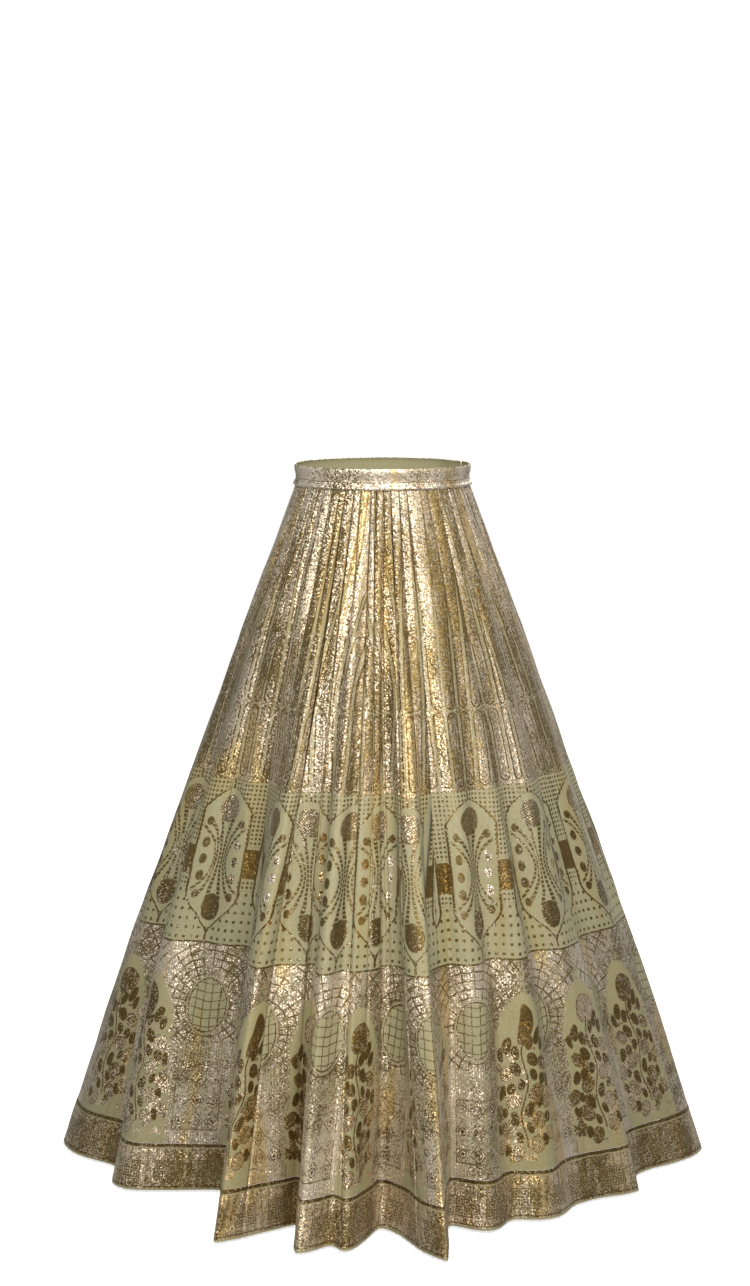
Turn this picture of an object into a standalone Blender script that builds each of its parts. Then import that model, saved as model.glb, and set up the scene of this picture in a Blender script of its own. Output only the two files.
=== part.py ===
"""A lehenga skirt on an open, hollow waist: four straight widths of cloth pleated finely into a waistband,
falling into large folds, with a border along the hem. Metres, +Z up, wearer facing -Y.

The origin is the centre of the waist, at the middle of the waistband's height. Every sheet is a closed wall.
A column runs down the cloth from waist to hem, and a ring goes round the body at one height. A share is a
column's place round the cloth, 0 to 1, from the opening at the wearer's left side towards the front.
"""

import math

import bpy
import numpy as np

MM = 0.001

# Heights, in metres from the middle of the waistband.
BAND_HEIGHT = 0.034
SEAM_GAP = 0.3 * MM
SKIRT_TOP = -BAND_HEIGHT / 2 - SEAM_GAP
HEM_Z = -1.0985
SKIRT_DROP = SKIRT_TOP - HEM_Z
BORDER_DROP = 0.072

# Cloth and counts.
WALL = 1.3 * MM
SIDES = ("left", "front", "right", "back")
PLEATS = 44
PLEATS_A_SIDE = PLEATS // len(SIDES)
# Where the columns of one pleat stand, as shares of the pleat: a narrow groove, then a broad face.
PLEAT_COLUMNS = (0.05, 0.24, 0.52, 0.80, 0.95)

# The valleys between the folds, from waist to hem: share of the drop, half width and half depth (m).
BODY = (
    (0.00, 0.1360, 0.1040),
    (0.08, 0.1640, 0.1380),
    (0.16, 0.1930, 0.1740),
    (0.30, 0.2400, 0.2300),
    (0.50, 0.3040, 0.2980),
    (0.75, 0.3790, 0.3760),
    (1.00, 0.4340, 0.4340),
)

# The large folds at the hem: angle from the front towards the wearer's left (degrees), width of the flank
# before and after the crest (degrees), reach out from the valleys (m; a hollow is negative) and how crisp the
# crest is, from 0 for round to 1 for a ridge.
FOLDS = (
    (-94.0, 20.0, 24.0, 0.090, 0.0),
    (-63.0, 13.0, 13.0, 0.036, 0.0),
    (-44.0, 16.0, 13.0, -0.088, 0.0),
    (-26.5, 6.0, 10.0, 0.126, 0.35),
    (-12.9, 4.8, 12.5, 0.132, 0.30),
    (-5.2, 4.0, 4.6, 0.070, 0.0),
    (9.0, 9.5, 4.6, 0.162, 0.50),
    (20.0, 7.0, 8.0, 0.040, 0.0),
    (34.0, 10.0, 11.0, 0.028, 0.0),
    (58.2, 11.0, 9.0, 0.036, 0.40),
    (89.0, 21.0, 15.0, 0.086, 0.0),
    (107.0, 13.0, 11.0, 0.062, 0.2),
    (132.0, 14.0, 13.0, 0.082, 0.0),
    (152.0, 13.0, 12.0, 0.058, 0.3),
    (173.0, 13.0, 14.0, 0.090, 0.0),
    (195.0, 13.0, 11.0, 0.066, 0.2),
    (220.0, 13.0, 15.0, 0.084, 0.1),
    (243.0, 14.0, 12.0, 0.060, 0.0),
)
OPENING_ANGLE = 118.0
FOLD_START = 0.10
FOLD_GROWTH = 1.45
FOLD_TURN = 1.2

# How deep the fine pleats and the folds that they run into stand, down the drop: share, pleat, fold (m).
RELIEF = (
    (0.00, 0.0030, 0.0000),
    (0.03, 0.0048, 0.0000),
    (0.10, 0.0074, 0.0020),
    (0.20, 0.0086, 0.0060),
    (0.35, 0.0070, 0.0110),
    (0.50, 0.0046, 0.0135),
    (0.70, 0.0022, 0.0110),
    (0.85, 0.0008, 0.0060),
    (1.00, 0.0000, 0.0020),
)
# The most that a pleat or a fold stands out, as a share of the ring's length that the pleat has there.
PLEAT_LIMIT = 0.34
FOLD_LIMIT = 0.30
MOST_MITRE = 1.7
RING_SHARES = (0.0, 0.025, 0.07, 0.13, 0.20, 0.28, 0.37, 0.47, 0.58, 0.70, 0.82)

BORDER_SHARES = (0.5, 1.0)

# The waistband's outer face, from its rolled lower edge up: height and how far out it stands (m).
BAND_PROFILE = (
    (-0.0170, 0.0010),
    (-0.0155, 0.0028),
    (-0.0120, 0.0030),
    (-0.0095, 0.0012),
    (0.0150, 0.0010),
    (0.0170, 0.0004),
)
BAND_HALF_WIDTH = 0.1385
BAND_HALF_DEPTH = 0.1065
BAND_THICKNESS = 1.6 * MM
BAND_COLUMNS = 96
LAP_ANGLE = 13.0
LAP_RAMP = 16.0
LAP_STEP = 3.4 * MM

# Colours, as linear red, green and blue.
GOLD_SAGE = (0.42, 0.37, 0.20, 1.0)
BORDER_GOLD = (0.36, 0.29, 0.15, 1.0)
BAND_GOLD = (0.55, 0.50, 0.36, 1.0)


def smooth_table(rows, at):
    """Each later column of a table whose first column rises, read at the given places with no kinks."""
    table = np.array(rows)
    x = table[:, 0]
    values = table[:, 1:]
    slopes = np.gradient(values, x, axis=0)
    at = np.clip(np.asarray(at, float), x[0], x[-1])
    i = np.clip(np.searchsorted(x, at, side="right") - 1, 0, len(x) - 2)
    width = x[i + 1] - x[i]
    u = ((at - x[i]) / width)[..., None]
    width = width[..., None]
    start = values[i] * (1 + 2 * u) * (1 - u) ** 2 + slopes[i] * width * u * (1 - u) ** 2
    end = values[i + 1] * u**2 * (3 - 2 * u) + slopes[i + 1] * width * u**2 * (u - 1)
    return np.moveaxis(start + end, -1, 0)


def flank(x, crisp):
    """1 at 0, falling to 0 at 1 and beyond: smoothly at 0 where it isn't crisp, and from a ridge where it is."""
    x = np.clip(np.abs(x), 0, 1)
    return (1 - crisp) * 0.5 * (1 + np.cos(np.pi * x)) + crisp * (1 - np.sin(np.pi * x / 2))


def hem_reach(angle):
    """How far the hem stands out from its valleys at an angle."""
    reach = np.zeros_like(angle)
    for crest, before, after, height, crisp in FOLDS:
        x = (angle - crest + 180) % 360 - 180
        reach += height * flank(np.where(x < 0, x / before, x / after), crisp)
    return reach


def hem_places(shares):
    """The hem's angle and reach at each share of the cloth, so that equal shares take equal cloth."""
    angle = OPENING_ANGLE - np.linspace(0, 360, 7201)
    radius = BODY[-1][1] + hem_reach(angle)
    x = radius * np.sin(np.radians(angle))
    y = -radius * np.cos(np.radians(angle))
    cloth = np.concatenate([[0], np.cumsum(np.hypot(np.diff(x), np.diff(y)))])
    places = np.interp(shares, cloth / cloth[-1], angle)
    return places, hem_reach(places)


def waist_angles(shares):
    """Each column's angle at the waist: near its angle at the hem, but evenly spread over a few pleats."""
    spread = 3.2 / PLEATS
    angles = np.zeros_like(shares)
    weights = 0.0
    for step in np.linspace(-2, 2, 41):
        moved = shares + step * spread
        turns = np.floor(moved)
        weight = math.exp(-(step**2))
        angles += weight * (hem_places(moved - turns)[0] - 360 * turns)
        weights += weight
    return angles / weights


def across(x, y):
    """Unit vectors square to a closed ring at each of its points, pointing out of the skirt. They follow the
    chord of four steps, so that they don't meet in a narrow valley."""
    along_x = np.roll(x, -2) - np.roll(x, 2)
    along_y = np.roll(y, -2) - np.roll(y, 2)
    length = np.hypot(along_x, along_y)
    return -along_y / length, along_x / length


def pleat_height(shares):
    """Each column's height on its fine pleat, from 0 in the groove to 1 on the face."""
    place = (shares * PLEATS) % 1.0
    rise = np.clip((place - 0.05) / 0.19, 0, 1)
    fall = np.clip((0.95 - place) / 0.15, 0, 1)
    return np.minimum(rise, fall) ** 0.8


def fold_height(shares):
    """The height of the folds, of about two pleats each and uneven, from -1 to 1."""
    turn = 2 * np.pi * shares
    sway = 0.16 * np.sin(5 * turn + 0.6) + 0.10 * np.sin(9 * turn + 2.0)
    height = 0.78 + 0.22 * np.sin(7 * turn + 1.1)
    return height * np.sin(turn * PLEATS / 2 + 2 * np.pi * sway)


def pleat_room(x, y, columns):
    """The length of ring that each pleat has at its place, averaged over one pleat."""
    ahead = np.hypot(np.roll(x, -1) - x, np.roll(y, -1) - y)
    total = np.concatenate([[0], np.cumsum(np.tile(ahead, 3))])
    here = np.arange(len(x)) + len(x)
    return total[here + columns // 2] - total[here - columns // 2]


def ring(shares, drop_share):
    """The outer face at one height: x and y of each column."""
    half_width, half_depth = smooth_table(BODY, drop_share)
    pleat, fold = smooth_table(RELIEF, drop_share)
    hem_angle, reach = hem_places(shares)
    grown = max(drop_share - FOLD_START, 0) / (1 - FOLD_START)
    turned = grown**FOLD_TURN
    angle = np.radians(waist_angles(shares) * (1 - turned) + hem_angle * turned)
    out = reach * grown**FOLD_GROWTH
    x = (half_width + out) * np.sin(angle)
    y = -(half_depth + out) * np.cos(angle)
    normal_x, normal_y = across(x, y)
    room = pleat_room(x, y, len(shares) // PLEATS)
    lift = np.minimum(pleat, PLEAT_LIMIT * room) * pleat_height(shares)
    lift += np.minimum(fold, FOLD_LIMIT * room) * fold_height(shares)
    return x + normal_x * lift, y + normal_y * lift


def inner_ring(x, y, thickness):
    """A closed ring moved inwards by a thickness, with its corners mitred."""
    ahead_x = np.roll(x, -1) - x
    ahead_y = np.roll(y, -1) - y
    length = np.hypot(ahead_x, ahead_y)
    ahead_x /= length
    ahead_y /= length
    both_x = ahead_x + np.roll(ahead_x, 1)
    both_y = ahead_y + np.roll(ahead_y, 1)
    size = np.hypot(both_x, both_y)
    mitre = np.minimum(2 / size, MOST_MITRE)
    return x + thickness * mitre * both_y / size, y - thickness * mitre * both_x / size


def seam_points(points, first, last):
    """Columns first to last of a ring, with one more at each end, half the seam's gap short of the seam."""
    count = len(points)
    ends = []
    for column, beyond in ((first, first - 1), (last, last + 1)):
        near = points[column % count]
        far = points[beyond % count]
        middle = (near + far) / 2
        ends.append(middle + (near - far) / np.linalg.norm(near - far) * SEAM_GAP / 2)
    middle_columns = [points[i % count] for i in range(first, last + 1)]
    return np.array([ends[0]] + middle_columns + [ends[1]])


def add_sheet(name, outer, inner, material):
    """A closed wall between two grids of points, indexed ring then column."""
    rings, columns = outer.shape[:2]
    points = np.concatenate([outer.reshape(-1, 3), inner.reshape(-1, 3)])
    behind = rings * columns

    def at(i, j):
        return i * columns + j

    faces = []
    for i in range(rings - 1):
        for j in range(columns - 1):
            for face in (
                (at(i, j), at(i, j + 1), at(i + 1, j + 1)),
                (at(i, j), at(i + 1, j + 1), at(i + 1, j)),
            ):
                faces.append(face)
                faces.append(tuple(behind + k for k in reversed(face)))
    for j in range(columns - 1):
        for i, turned in ((0, False), (rings - 1, True)):
            face = (at(i, j + 1), at(i, j), behind + at(i, j), behind + at(i, j + 1))
            faces.append(face[::-1] if turned else face)
    for i in range(rings - 1):
        for j, turned in ((0, True), (columns - 1, False)):
            face = (at(i + 1, j), at(i, j), behind + at(i, j), behind + at(i + 1, j))
            faces.append(face[::-1] if turned else face)
    mesh = bpy.data.meshes.new(name)
    mesh.from_pydata(points.tolist(), [], faces)
    mesh.polygons.foreach_set("use_smooth", [True] * len(mesh.polygons))
    mesh.materials.append(material)
    mesh.update()
    obj = bpy.data.objects.new(name, mesh)
    bpy.context.scene.collection.objects.link(obj)
    return obj


def add_skirt_piece(name, side, heights, material):
    """One side's piece of the skirt between the first and last of some heights."""
    columns = [(k + place) / PLEATS for k in range(PLEATS) for place in PLEAT_COLUMNS]
    shares = np.array(columns)
    first = side * PLEATS_A_SIDE * len(PLEAT_COLUMNS)
    last = first + PLEATS_A_SIDE * len(PLEAT_COLUMNS) - 1
    outer = []
    inner = []
    for z in heights:
        x, y = ring(shares, (SKIRT_TOP - z) / SKIRT_DROP)
        inner_x, inner_y = inner_ring(x, y, WALL)
        outer.append(seam_points(np.stack([x, y, np.full_like(x, z)], axis=1), first, last))
        inner.append(seam_points(np.stack([inner_x, inner_y, np.full_like(x, z)], axis=1), first, last))
    return add_sheet(name, np.array(outer), np.array(inner), material)


def add_waistband(material):
    """One strip round the waist, whose inner end passes behind its outer end at the opening."""
    place = np.linspace(0, 1, BAND_COLUMNS + 1)
    turned = place * (360 + LAP_ANGLE)
    angle = np.radians(OPENING_ANGLE + LAP_ANGLE / 2 - turned)
    ramp = np.clip((turned - (360 - LAP_RAMP)) / LAP_RAMP, 0, 1)
    behind = LAP_STEP * ramp**2 * (3 - 2 * ramp)
    outer = []
    inner = []
    for z, out in BAND_PROFILE:
        rows = ((outer, out * (1 - 0.6 * ramp)), (inner, -BAND_THICKNESS))
        for grid, offset in rows:
            x = (BAND_HALF_WIDTH + offset - behind) * np.sin(angle)
            y = -(BAND_HALF_DEPTH + offset - behind) * np.cos(angle)
            grid.append(np.stack([x, y, np.full_like(x, z)], axis=1))
    return add_sheet("waistband", np.array(outer)[::-1], np.array(inner)[::-1], material)


def cloth_material(name, colour, roughness, metallic):
    """A Principled material of one colour."""
    material = bpy.data.materials.new(name)
    material.use_nodes = True
    shader = material.node_tree.nodes["Principled BSDF"]
    shader.inputs["Base Color"].default_value = colour
    shader.inputs["Roughness"].default_value = roughness
    shader.inputs["Metallic"].default_value = metallic
    return material


def main():
    for obj in list(bpy.data.objects):
        bpy.data.objects.remove(obj)
    border_top = HEM_Z + BORDER_DROP
    panel_heights = [SKIRT_TOP - SKIRT_DROP * share for share in RING_SHARES]
    panel_heights.append(border_top + SEAM_GAP)
    border_heights = [border_top] + [border_top - BORDER_DROP * share for share in BORDER_SHARES]
    for i, side in enumerate(SIDES):
        cloth = cloth_material(f"foil_printed_cloth_{side}", GOLD_SAGE, 0.5, 0.3)
        add_skirt_piece(f"panel_{side}", i, panel_heights, cloth)
        gold = cloth_material(f"gold_border_{side}", BORDER_GOLD, 0.45, 0.4)
        add_skirt_piece(f"border_{side}", i, border_heights, gold)
    add_waistband(cloth_material("waistband_cloth", BAND_GOLD, 0.4, 0.4))


main()
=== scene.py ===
"""The finished cloth of a lehenga skirt: pleated foil-printed panels, a gold hem border, a waistband, its sewing
and a plain studio. Metres, +Z up, wearer facing -Y, with the origin at the centre of the waist.

A share is a place round the cloth, 0 to 1, from the opening at the wearer's left side towards the front. A drop
share is a height, 0 at the waistband to 1 at the hem. A groove is the tuck between the faces of two pleats.
Every sheet carries its own cloth coordinates as a UV map, in metres: along the cloth, and down it.
"""

import math

import bpy
import numpy as np
from bpy.props import FloatProperty, FloatVectorProperty, IntProperty, PointerProperty
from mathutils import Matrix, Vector


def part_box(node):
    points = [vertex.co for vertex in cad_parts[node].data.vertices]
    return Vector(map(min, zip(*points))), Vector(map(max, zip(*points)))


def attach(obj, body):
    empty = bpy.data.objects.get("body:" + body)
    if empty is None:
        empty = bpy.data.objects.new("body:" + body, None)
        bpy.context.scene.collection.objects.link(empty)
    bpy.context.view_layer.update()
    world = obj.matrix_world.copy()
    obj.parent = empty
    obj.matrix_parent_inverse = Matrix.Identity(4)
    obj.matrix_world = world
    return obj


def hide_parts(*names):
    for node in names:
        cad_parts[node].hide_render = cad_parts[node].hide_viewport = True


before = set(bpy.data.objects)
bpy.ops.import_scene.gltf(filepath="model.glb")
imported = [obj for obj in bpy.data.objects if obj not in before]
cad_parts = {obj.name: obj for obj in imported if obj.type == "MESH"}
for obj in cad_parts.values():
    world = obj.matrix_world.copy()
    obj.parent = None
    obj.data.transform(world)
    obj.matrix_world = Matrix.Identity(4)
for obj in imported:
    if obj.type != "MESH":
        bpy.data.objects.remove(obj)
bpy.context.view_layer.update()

bl_info = {
    "name": "Lehenga Skirt Finish",
    "version": (1, 0, 0),
    "blender": (4, 5, 0),
    "location": "3D View > Sidebar > Lehenga",
    "description": "Makes the pleated, foil-printed cloth of a lehenga skirt over its solids",
    "category": "Object",
}

MM = 0.001

# Heights, in metres from the middle of the waistband.
BAND_LOW, BAND_HIGH = (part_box("waistband")[i][2] for i in (0, 1))
SEAM_GAP = 0.3 * MM
SKIRT_TOP = BAND_LOW - SEAM_GAP
HEM_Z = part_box("border_front")[0][2]
SKIRT_DROP = SKIRT_TOP - HEM_Z
BORDER_TOP_SHARE = (SKIRT_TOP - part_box("border_front")[1][2]) / SKIRT_DROP
GAP_SHARE = SEAM_GAP / SKIRT_DROP

SIDES = ("left", "front", "right", "back")
PLEATS = 44
PLEATS_A_SIDE = PLEATS // len(SIDES)

# The valleys between the folds: drop share, half width and half depth (m).
BODY = (
    (0.00, 0.1360, 0.1040),
    (0.08, 0.1640, 0.1380),
    (0.16, 0.1930, 0.1740),
    (0.30, 0.2400, 0.2300),
    (0.50, 0.3040, 0.2980),
    (0.75, 0.3790, 0.3760),
    (1.00, 0.4340, 0.4340),
)

# The large folds at the hem: angle from the front towards the wearer's left, widths of the flanks before and
# after the crest (degrees), reach out from the valleys (m; a hollow is negative) and how crisp the crest is.
FOLDS = (
    (-94.0, 20.0, 24.0, 0.090, 0.0),
    (-63.0, 13.0, 13.0, 0.036, 0.0),
    (-44.0, 16.0, 13.0, -0.088, 0.0),
    (-26.5, 6.0, 10.0, 0.126, 0.35),
    (-12.9, 4.8, 12.5, 0.132, 0.30),
    (-5.2, 4.0, 4.6, 0.070, 0.0),
    (9.0, 9.5, 4.6, 0.162, 0.50),
    (20.0, 7.0, 8.0, 0.040, 0.0),
    (34.0, 10.0, 11.0, 0.028, 0.0),
    (58.2, 11.0, 9.0, 0.036, 0.40),
    (89.0, 21.0, 15.0, 0.086, 0.0),
    (107.0, 13.0, 11.0, 0.062, 0.2),
    (132.0, 14.0, 13.0, 0.082, 0.0),
    (152.0, 13.0, 12.0, 0.058, 0.3),
    (173.0, 13.0, 14.0, 0.090, 0.0),
    (195.0, 13.0, 11.0, 0.066, 0.2),
    (220.0, 13.0, 15.0, 0.084, 0.1),
    (243.0, 14.0, 12.0, 0.060, 0.0),
)
OPENING_ANGLE = 118.0
FOLD_START = 0.10
FOLD_GROWTH = 1.45
FOLD_TURN = 1.2
PLEAT_LIMIT = 0.34
FOLD_LIMIT = 0.30
PATH_STEPS = 30
CHORD_STEPS = 12
HEM_STEPS = 7200
# A column's angle at the waist is a mean over about this many pleats to each side.
EVEN_PLEATS = 3.2

# Down the drop (mm): how far pleats stand out, how far the folds of two pleats stand out, how deep the grooves
# may be, half the width of a groove's mouth, and how far a face's edges fall back from its middle.
RELIEF = (
    (0.00, 3.0, 0.0, 12.0, 0.7, 0.7),
    (0.03, 4.8, 0.0, 20.0, 0.8, 2.2),
    (0.10, 7.4, 2.0, 32.0, 0.9, 4.0),
    (0.20, 8.6, 6.0, 52.0, 0.8, 4.6),
    (0.35, 7.0, 11.0, 64.0, 0.7, 3.4),
    (0.50, 4.6, 13.5, 56.0, 0.6, 2.4),
    (0.70, 2.2, 11.0, 43.0, 0.6, 1.8),
    (0.85, 0.8, 6.0, 25.0, 0.6, 1.1),
    (0.934, 0.3, 3.6, 7.0, 0.7, 0.7),
    (1.00, 0.0, 2.0, 0.0, 0.8, 0.2),
)
FACE_COLUMNS = 17
WALL_PLACES = (0.30, 0.68)
# A groove with less spare cloth than this lies flat, this far to each side of its middle. With this much more
# it is fully drawn in.
BARE = 5.0 * MM
FLAT_MOUTH = 2.6 * MM
DRAWN_IN = 10.0 * MM
OVERLAP = 0.55
LEAN = 0.5
# Both turn over at the middle of the front and the back, over this sine of the angle.
TURN_OVER = 0.2
# The most that a face's edges fall back, before the overlap and as a share of the face's width.
FALL_LIMIT = 0.16
# These grooves, by number from the opening, keep most of the spare cloth. From this drop share, and over the
# next, the others let go of theirs.
LOOSE_FROM = 0.04
LOOSE_OVER = 0.26
KEPT = (0, 3, 6, 8, 11, 13, 16, 19, 22, 25, 28, 30, 33, 36, 38, 41)
SPREAD = 3
# This one keeps less and stands aside, so that it doesn't cut the print in front.
EASED = 16
EASED_KEEPS = 0.35
EASED_SHIFT = -0.3
# The seed of the pleats' unevenness, and the most that chance shifts a boundary between pleats, in shares of a
# pleat. Spare cloth goes to grooves by weight: the least of a loose groove's, and the most that chance adds to it
# low on the skirt and at the waist. A groove that keeps its cloth has about 1.
PLEAT_SEED = 7
SHIFT_MOST = 0.17
LEAST_KEPT = 0.01
MORE_KEPT = 0.04
MORE_KEPT_AT_WAIST = 0.13
# The most that a boundary sways down the skirt, in shares of a pleat, and the drop share over which this sets in.
SWAY_MOST = 0.06
SWAY_OVER = 0.2
# Over these drop shares the folds take their full height.
SLACK_FROM = 0.30
SLACK_OVER = 0.25
# The cloth's slow unevenness: its most, this also as a share of a pleat's width, and the drop share over which it
# sets in.
CRUMPLE = 2.0 * MM
CRUMPLE_LIMIT = 0.05
CRUMPLE_OVER = 0.1
# Its waves: how fast each turns across and down the cloth (radians a metre), its phase and its size.
CRUMPLE_WAVES = (
    (23.0, 7.0, 0.4, 0.34),
    (37.0, -11.0, 2.1, 0.26),
    (61.0, 17.0, 4.0, 0.22),
    (97.0, -23.0, 1.2, 0.18),
)

# The skirt's cloth from waistband to hem, measured along it.
CLOTH_LENGTH = 1.152
# The print's bands down the cloth: name, top and foot (m), and rows of faces.
BANDS = (
    ("stripes", 0.000, 0.230, 26),
    ("columns", 0.230, 0.475, 27),
    ("ogees", 0.475, 0.740, 28),
    ("niches", 0.740, 1.076, 32),
)

# The share of the gold's facets that are painted pale, as highlights, in each band.
BAND_PAINTED_HIGHLIGHTS = (0.58, 0.52, 0.45, 0.79)
BORDER_PAINTED_HIGHLIGHTS = 0.74
WAIST_PAINTED_HIGHLIGHTS = 0.7
# One facet of the crinkled foil, and how far the print wanders (cm).
FACET = 1.7 * MM
WANDER = 0.09

# The waistband's section: height, and how far it stands out (m).
BAND_PROFILE = (
    (-0.0170, 0.0010),
    (-0.0155, 0.0028),
    (-0.0120, 0.0030),
    (-0.0095, 0.0012),
    (0.0150, 0.0010),
    (0.0170, 0.0004),
)
BAND_HALF_WIDTH = 0.1385
BAND_HALF_DEPTH = 0.1065
LAP_ANGLE = 13.0
LAP_RAMP = 16.0
LAP_STEP = 3.4 * MM
# How much flatter the end under the lap is, as a share.
LAP_FLATTER = 0.6
# The waistband's cut length (m), and how many points run along it and down it.
BAND_CUT = 0.81
BAND_COLUMNS = 361
BAND_ROWS = 24

# The rows of stitches: under the border's top, over the hem and over the waistband's lower edge.
ROW_UNDER_SEAM = 3 * MM
ROW_OVER_HEM = 6 * MM
ROW_ON_BAND = 9 * MM
# How far out the border, its stitches and the waistband's stitches lie from the line of the cloth.
BORDER_PROUD = 0.4 * MM
BORDER_ROW_PROUD = 0.6 * MM
BAND_ROW_PROUD = 0.1 * MM
# How thick the sewing threads are, and the shortest and longest stitch as shares of the stitch length.
HEM_THREAD = 0.55 * MM
WAIST_THREAD = 0.6 * MM
STITCH_UNEVEN = (0.85, 1.05)
# The frayed threads: how far apart and how thick they are, the thickness at the free end and the length of the
# shortest, as shares, and the most that they slant (radians).
FRAY_PITCH = 2.6 * MM
FRAY_THICKNESS = 0.22 * MM
FRAY_END = 0.3
FRAY_SHORTEST = 0.3
FRAY_SLANT = 0.9
# Seeds: a side's stitches take its number and its frayed threads take this more. The waistband has its own.
FRAY_SEED = 10
WAIST_SEED = 20

# The stage: half the floor's side and how far it lies under the hem (m), and the strength of the backdrop that the
# camera sees and of the room.
FLOOR = 12.0
UNDER_HEM = 5 * MM
BACKDROP = 1.05
ROOM_LIGHT = 0.27
# The camera: focal length and sensor width (mm), place (m), and its tilt from straight down (degrees).
LENS = 95.46
SENSOR = 36
CAMERA_AT = (-0.012, -5.39, 0.50)
CAMERA_TILT = 81.86
# The lights: name, place, target and size (m), power (W) and colour.
LIGHTS = (
    ("key", (0.25, -1.9, 1.25), (0, -0.1, -0.42), (2.0, 0.9), 62, "fff6ec"),
    ("back", (0.9, 2.6, 1.3), (0, 0, -0.5), (2.0, 2.0), 65, "fff8f0"),
    ("fill", (-2.2, -2.4, 0.8), (0, 0, -0.5), (1.4, 1.4), 6, "fffaf4"),
)


def linear(hex_colour):
    """An sRGB hex colour as linear red, green and blue."""
    parts = [int(hex_colour[i : i + 2], 16) / 255 for i in (0, 2, 4)]
    return tuple(c / 12.92 if c <= 0.04045 else ((c + 0.055) / 1.055) ** 2.4 for c in parts)


# What every length and every colour that a user can change has in common.
LENGTH = {"unit": "LENGTH", "subtype": "DISTANCE"}
COLOUR = {"subtype": "COLOR", "min": 0, "max": 1}


class LehengaSizes(bpy.types.PropertyGroup):
    """Sizes of the cloth and its sewing."""

    cloth_thickness: FloatProperty(
        name="Cloth thickness", description="Thickness of the panels' cloth",
        default=0.5 * MM, **LENGTH,
    )
    border_thickness: FloatProperty(
        name="Border thickness", description="Thickness of the doubled hem border",
        default=1.0 * MM, **LENGTH,
    )
    band_thickness: FloatProperty(
        name="Waistband thickness", description="Thickness of the folded waistband",
        default=1.6 * MM, **LENGTH,
    )
    border_rows: IntProperty(
        name="Border rows", description="Rows of faces down the hem border", default=9, min=3, max=20,
    )
    stitch_length: FloatProperty(
        name="Stitch length", description="Length of one machine stitch",
        default=2.8 * MM, **LENGTH,
    )
    stitch_pitch: FloatProperty(
        name="Stitch pitch", description="Distance from one stitch to the next",
        default=3.6 * MM, **LENGTH,
    )
    fray_length: FloatProperty(
        name="Frayed thread length", description="Longest frayed thread under the hem",
        default=5.0 * MM, **LENGTH,
    )


class LehengaColours(bpy.types.PropertyGroup):
    """Colours of the cloth, foil and thread."""

    cloth: FloatVectorProperty(
        name="Cloth", description="Sage green silk ground",
        default=linear("b4b08a"), **COLOUR,
    )
    # Painted shade: the colour of the gold's facets that catch no light, a darker copy of the foil's colour.
    foil_painted_shade: FloatVectorProperty(
        name="Foil in shade", description="The gold's facets that catch no light",
        default=linear("96865e"), **COLOUR,
    )
    # Painted highlight: the colour of the gold's pale facets, a lit copy of the foil's colour.
    foil_painted_light: FloatVectorProperty(
        name="Foil in light", description="The foil's pale facets",
        default=linear("f7ebd8"), **COLOUR,
    )
    # The solid foil's own darker colour, which also paints the gold's shade in the patches painted as turned from the
    # light.
    foil_solid_and_painted_shade: FloatVectorProperty(
        name="Solid foil", description="The smooth, darker foil of outlines and motifs",
        default=linear("74633a"), **COLOUR,
    )
    foil_warm_tint: FloatVectorProperty(
        name="Old gold", description="Warm tint of the foil in places",
        default=linear("ffefc4"), **COLOUR,
    )
    thread: FloatVectorProperty(
        name="Thread", description="Gold sewing thread",
        default=linear("75653f"), **COLOUR,
    )


def smooth_table(rows, at):
    """Each later column of a table whose first column rises, read at the given places with no kinks."""
    table = np.array(rows)
    x = table[:, 0]
    values = table[:, 1:]
    slopes = np.gradient(values, x, axis=0)
    at = np.clip(np.asarray(at, float), x[0], x[-1])
    i = np.clip(np.searchsorted(x, at, side="right") - 1, 0, len(x) - 2)
    width = x[i + 1] - x[i]
    u = ((at - x[i]) / width)[..., None]
    width = width[..., None]
    start = values[i] * (1 + 2 * u) * (1 - u) ** 2 + slopes[i] * width * u * (1 - u) ** 2
    end = values[i + 1] * u**2 * (3 - 2 * u) + slopes[i + 1] * width * u**2 * (u - 1)
    return np.moveaxis(start + end, -1, 0)


def ease(x):
    """0 up to 0, 1 from 1 on, and smooth between."""
    x = np.clip(x, 0, 1)
    return x * x * (3 - 2 * x)


def flank(x, crisp):
    """1 at 0, falling to 0 at 1 and beyond: smoothly at 0 where it isn't crisp, and from a ridge where it is."""
    x = np.clip(np.abs(x), 0, 1)
    return (1 - crisp) * 0.5 * (1 + np.cos(np.pi * x)) + crisp * (1 - np.sin(np.pi * x / 2))


def hem_reach(angle):
    """How far the hem stands out from its valleys at an angle."""
    reach = np.zeros_like(angle)
    for crest, before, after, height, crisp in FOLDS:
        x = (angle - crest + 180) % 360 - 180
        reach += height * flank(np.where(x < 0, x / before, x / after), crisp)
    return reach


def hem_places(shares):
    """The hem's angle and reach at each share of the cloth, so that equal shares take equal cloth."""
    angle = OPENING_ANGLE - np.linspace(0, 360, HEM_STEPS + 1)
    radius = BODY[-1][1] + hem_reach(angle)
    x = radius * np.sin(np.radians(angle))
    y = -radius * np.cos(np.radians(angle))
    cloth = np.concatenate([[0], np.cumsum(np.hypot(np.diff(x), np.diff(y)))])
    places = np.interp(shares, cloth / cloth[-1], angle)
    return places, hem_reach(places)


def waist_angles(shares):
    """Each column's angle at the waist: near its angle at the hem, but evenly spread over a few pleats."""
    spread = EVEN_PLEATS / PLEATS
    angles = np.zeros_like(shares)
    weights = 0.0
    for step in np.linspace(-2, 2, 41):
        moved = shares + step * spread
        turns = np.floor(moved)
        weight = math.exp(-(step**2))
        angles += weight * (hem_places(moved - turns)[0] - 360 * turns)
        weights += weight
    return angles / weights


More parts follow.
